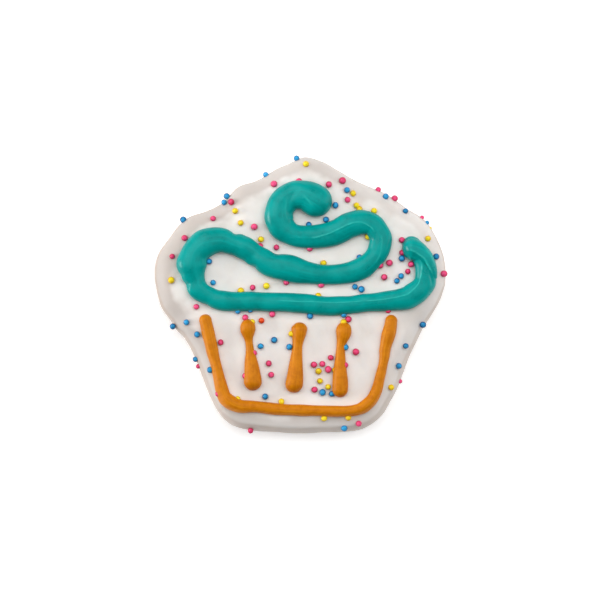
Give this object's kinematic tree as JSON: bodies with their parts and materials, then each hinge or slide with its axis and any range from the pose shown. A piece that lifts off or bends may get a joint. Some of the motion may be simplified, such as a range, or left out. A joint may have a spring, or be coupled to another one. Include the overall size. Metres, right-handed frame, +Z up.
{
  "type": "dog biscuit",
  "caption": "Cupcake-shaped dog biscuit dipped in white yogurt coating, piped with teal and peanut butter icing and dotted with sugar beads.",
  "frame": {"origin": "on the surface it lies on, under the middle of its plan", "axes": "+X to the cupcake's right, +Y towards the tip of its frosting, +Z up out of the decorated face"},
  "size_m": [0.0905, 0.086, 0.016],
  "materials": {
    "yogurt_coating": "satin white yogurt coating",
    "teal_icing": "satin piped icing",
    "caramel_icing": "satin piped peanut butter icing",
    "pink_sugar": "glossy sugar bead",
    "blue_sugar": "glossy sugar bead",
    "yellow_sugar": "glossy sugar bead",
    "orange_sugar": "glossy sugar bead"
  },
  "bodies": {
    "root": {"coated_biscuit": "yogurt_coating", "icing_swirl": "teal_icing", "wrapper_outline": "caramel_icing", "pleat_1": "caramel_icing", "pleat_2": "caramel_icing", "pleat_3": "caramel_icing"}
  },
  "joints": []
}
